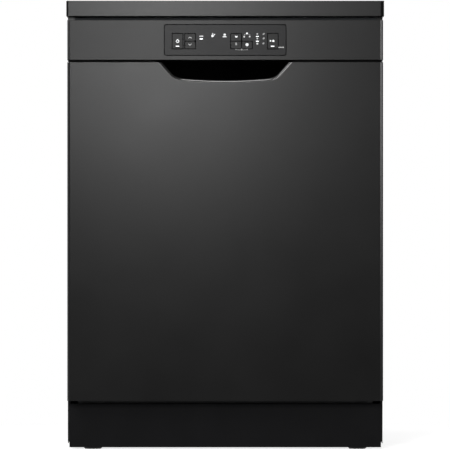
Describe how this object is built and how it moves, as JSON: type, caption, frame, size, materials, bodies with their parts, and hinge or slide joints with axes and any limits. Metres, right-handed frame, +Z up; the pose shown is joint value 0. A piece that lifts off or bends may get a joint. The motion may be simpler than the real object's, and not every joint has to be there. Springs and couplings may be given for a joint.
{
  "type": "dishwasher",
  "caption": "Black dishwasher with worktop, drop-down door, hand recess, key panel, wire racks and spray arms inside",
  "frame": {"origin": "on the floor under the centre of the machine", "axes": "+Z up, -Y is the way the door faces, +X to the right when facing the door"},
  "size_m": [0.598, 0.6, 0.845],
  "materials": {
    "worktop_laminate": "satin black laminate",
    "black_paint": "satin black powder coat",
    "zinc_sheet": "zinc coated sheet, dull",
    "zinc_steel": "zinc plated",
    "console_plastic": "satin black ABS",
    "window_plastic": "smooth black",
    "black_plastic": "moulded black",
    "board": "green circuit board",
    "stainless": "brushed stainless sheet",
    "gasket_rubber": "soft black",
    "rack_nylon": "grey nylon coated wire",
    "grey_plastic": "moulded grey polypropylene",
    "white_plastic": "moulded white polypropylene",
    "blue_plastic": "moulded blue polypropylene"
  },
  "bodies": {
    "cabinet": {"worktop": "worktop_laminate", "side_panel_left": "black_paint", "side_panel_right": "black_paint", "rear_panel": "zinc_sheet", "rear_screws": "zinc_steel", "front_crossbar": "black_paint", "base_tray": "black_plastic", "plinth": "black_paint", "tub_wrapper": "stainless", "tub_back": "stainless", "tub_floor": "stainless", "door_gasket": "gasket_rubber", "hinge_brackets": "zinc_steel", "door_springs": "zinc_steel", "wall_rollers": "grey_plastic", "sump_housing": "grey_plastic", "circulation_pump": "white_plastic", "drain_pump": "white_plastic", "drain_hose": "grey_plastic", "water_softener": "white_plastic", "inlet_valve": "white_plastic", "inlet_chamber": "white_plastic", "spray_feed_pipe": "grey_plastic", "filter_plate": "stainless"},
    "coarse_filter": {"coarse_filter": "grey_plastic"},
    "salt_cap": {"salt_cap": "grey_plastic"},
    "lower_spray_arm": {"lower_spray_arm": "grey_plastic"},
    "foot_front_left": {"foot_front_left": "black_plastic"},
    "foot_front_right": {"foot_front_right": "black_plastic"},
    "foot_rear_left": {"foot_rear_left": "black_plastic"},
    "foot_rear_right": {"foot_rear_right": "black_plastic"},
    "lower_rack": {"lower_rack": "rack_nylon", "cutlery_basket": "grey_plastic"},
    "folding_tines": {"folding_tines": "rack_nylon"},
    "lower_wheels_front": {"lower_wheels_front": "grey_plastic"},
    "lower_wheels_rear": {"lower_wheels_rear": "grey_plastic"},
    "upper_rails": {"upper_rails": "stainless"},
    "upper_rack": {"upper_rack": "rack_nylon", "rack_rollers": "grey_plastic", "upper_feed_tube": "grey_plastic"},
    "cup_shelf": {"cup_shelf": "rack_nylon"},
    "upper_spray_arm": {"upper_spray_arm": "grey_plastic"},
    "door": {"door_outer_panel": "black_paint", "door_inner_liner": "stainless", "hinge_arms": "zinc_steel", "handle_pocket": "black_plastic", "control_console": "console_plastic", "control_insert": "window_plastic", "control_board": "board", "door_lock": "black_plastic", "detergent_dispenser": "white_plastic"},
    "power_key": {"power_key": "console_plastic"},
    "program_up_key": {"program_up_key": "console_plastic"},
    "program_down_key": {"program_down_key": "console_plastic"},
    "half_load_key": {"half_load_key": "console_plastic"},
    "extra_dry_key": {"extra_dry_key": "console_plastic"},
    "delay_key": {"delay_key": "console_plastic"},
    "start_key": {"start_key": "console_plastic"},
    "dispenser_lid": {"dispenser_lid": "white_plastic"},
    "rinse_aid_cap": {"rinse_aid_cap": "blue_plastic"}
  },
  "joints": [
    {"name": "door_hinge", "type": "hinge", "parent": "cabinet", "child": "door", "pos_m": [0, -0.275, 0.117], "axis": [1, 0, 0], "range_deg": [0, 90], "stiffness_Nm_per_rad": 17, "deforming": ["door_springs"]},
    {"name": "lower_rack_slide", "type": "slide", "parent": "cabinet", "child": "lower_rack", "axis": [0, -1, 0], "range_m": [0, 0.154]},
    {"name": "folding_tines_hinge", "type": "hinge", "parent": "lower_rack", "child": "folding_tines", "pos_m": [0, 0.04, 0.2141], "axis": [-1, 0, 0], "range_deg": [0, 85]},
    {"name": "front_wheels_spin", "type": "hinge", "parent": "lower_rack", "child": "lower_wheels_front", "pos_m": [0, -0.165, 0.1663], "axis": [1, 0, 0], "range_deg": [0, 491]},
    {"name": "rear_wheels_spin", "type": "hinge", "parent": "lower_rack", "child": "lower_wheels_rear", "pos_m": [0, 0.166, 0.1663], "axis": [1, 0, 0], "range_deg": [0, 491]},
    {"name": "upper_rails_slide", "type": "slide", "parent": "cabinet", "child": "upper_rails", "axis": [0, -1, 0], "range_m": [0, 0.2]},
    {"name": "upper_rack_slide", "type": "slide", "parent": "upper_rails", "child": "upper_rack", "axis": [0, -1, 0], "range_m": [0, 0.2]},
    {"name": "cup_shelf_hinge", "type": "hinge", "parent": "upper_rack", "child": "cup_shelf", "pos_m": [-0.213, 0, 0.572], "axis": [0, -1, 0], "range_deg": [0, 80]},
    {"name": "upper_arm_spin", "type": "hinge", "parent": "upper_rack", "child": "upper_spray_arm", "pos_m": [0, 0.008, 0.48], "axis": [0, 0, 1], "continuous": true},
    {"name": "lower_arm_spin", "type": "hinge", "parent": "cabinet", "child": "lower_spray_arm", "pos_m": [0, 0.008, 0.16], "axis": [0, 0, 1], "continuous": true},
    {"name": "coarse_filter_twist", "type": "hinge", "parent": "cabinet", "child": "coarse_filter", "pos_m": [0.044, -0.046, 0.14], "axis": [0, 0, 1], "range_deg": [0, 45]},
    {"name": "salt_cap_twist", "type": "hinge", "parent": "cabinet", "child": "salt_cap", "pos_m": [-0.165, -0.095, 0.15], "axis": [0, 0, 1], "range_deg": [0, 270]},
    {"name": "dispenser_lid_slide", "type": "slide", "parent": "door", "child": "dispenser_lid", "axis": [0, 0, -1], "range_m": [0, 0.066]},
    {"name": "rinse_cap_twist", "type": "hinge", "parent": "door", "child": "rinse_aid_cap", "pos_m": [0.05, -0.2457, 0.515], "axis": [0, 1, 0], "range_deg": [0, 90]},
    {"name": "foot_front_left_screw", "type": "slide", "parent": "cabinet", "child": "foot_front_left", "axis": [0, 0, -1], "range_m": [0, 0.04]},
    {"name": "foot_front_right_screw", "type": "slide", "parent": "cabinet", "child": "foot_front_right", "axis": [0, 0, -1], "range_m": [0, 0.04]},
    {"name": "foot_rear_left_screw", "type": "slide", "parent": "cabinet", "child": "foot_rear_left", "axis": [0, 0, -1], "range_m": [0, 0.04]},
    {"name": "foot_rear_right_screw", "type": "slide", "parent": "cabinet", "child": "foot_rear_right", "axis": [0, 0, -1], "range_m": [0, 0.04]},
    {"name": "power_key_press", "type": "slide", "parent": "door", "child": "power_key", "axis": [0, 1, 0], "range_m": [0, 0.001], "stiffness_N_per_m": 800},
    {"name": "program_up_key_press", "type": "slide", "parent": "door", "child": "program_up_key", "axis": [0, 1, 0], "range_m": [0, 0.001], "stiffness_N_per_m": 800},
    {"name": "program_down_key_press", "type": "slide", "parent": "door", "child": "program_down_key", "axis": [0, 1, 0], "range_m": [0, 0.001], "stiffness_N_per_m": 800},
    {"name": "half_load_key_press", "type": "slide", "parent": "door", "child": "half_load_key", "axis": [0, 1, 0], "range_m": [0, 0.001], "stiffness_N_per_m": 800},
    {"name": "extra_dry_key_press", "type": "slide", "parent": "door", "child": "extra_dry_key", "axis": [0, 1, 0], "range_m": [0, 0.001], "stiffness_N_per_m": 800},
    {"name": "delay_key_press", "type": "slide", "parent": "door", "child": "delay_key", "axis": [0, 1, 0], "range_m": [0, 0.001], "stiffness_N_per_m": 800},
    {"name": "start_key_press", "type": "slide", "parent": "door", "child": "start_key", "axis": [0, 1, 0], "range_m": [0, 0.001], "stiffness_N_per_m": 800}
  ],
  "couplings": [
    {"joint": "lower_rack_slide", "follows": "door_hinge", "m_per_rad": 0.098},
    {"joint": "front_wheels_spin", "follows": "door_hinge", "ratio": 5.4444},
    {"joint": "rear_wheels_spin", "follows": "door_hinge", "ratio": 5.4444},
    {"joint": "upper_rails_slide", "follows": "door_hinge", "m_per_rad": 0.1273},
    {"joint": "upper_rack_slide", "follows": "door_hinge", "m_per_rad": 0.1273}
  ]
}
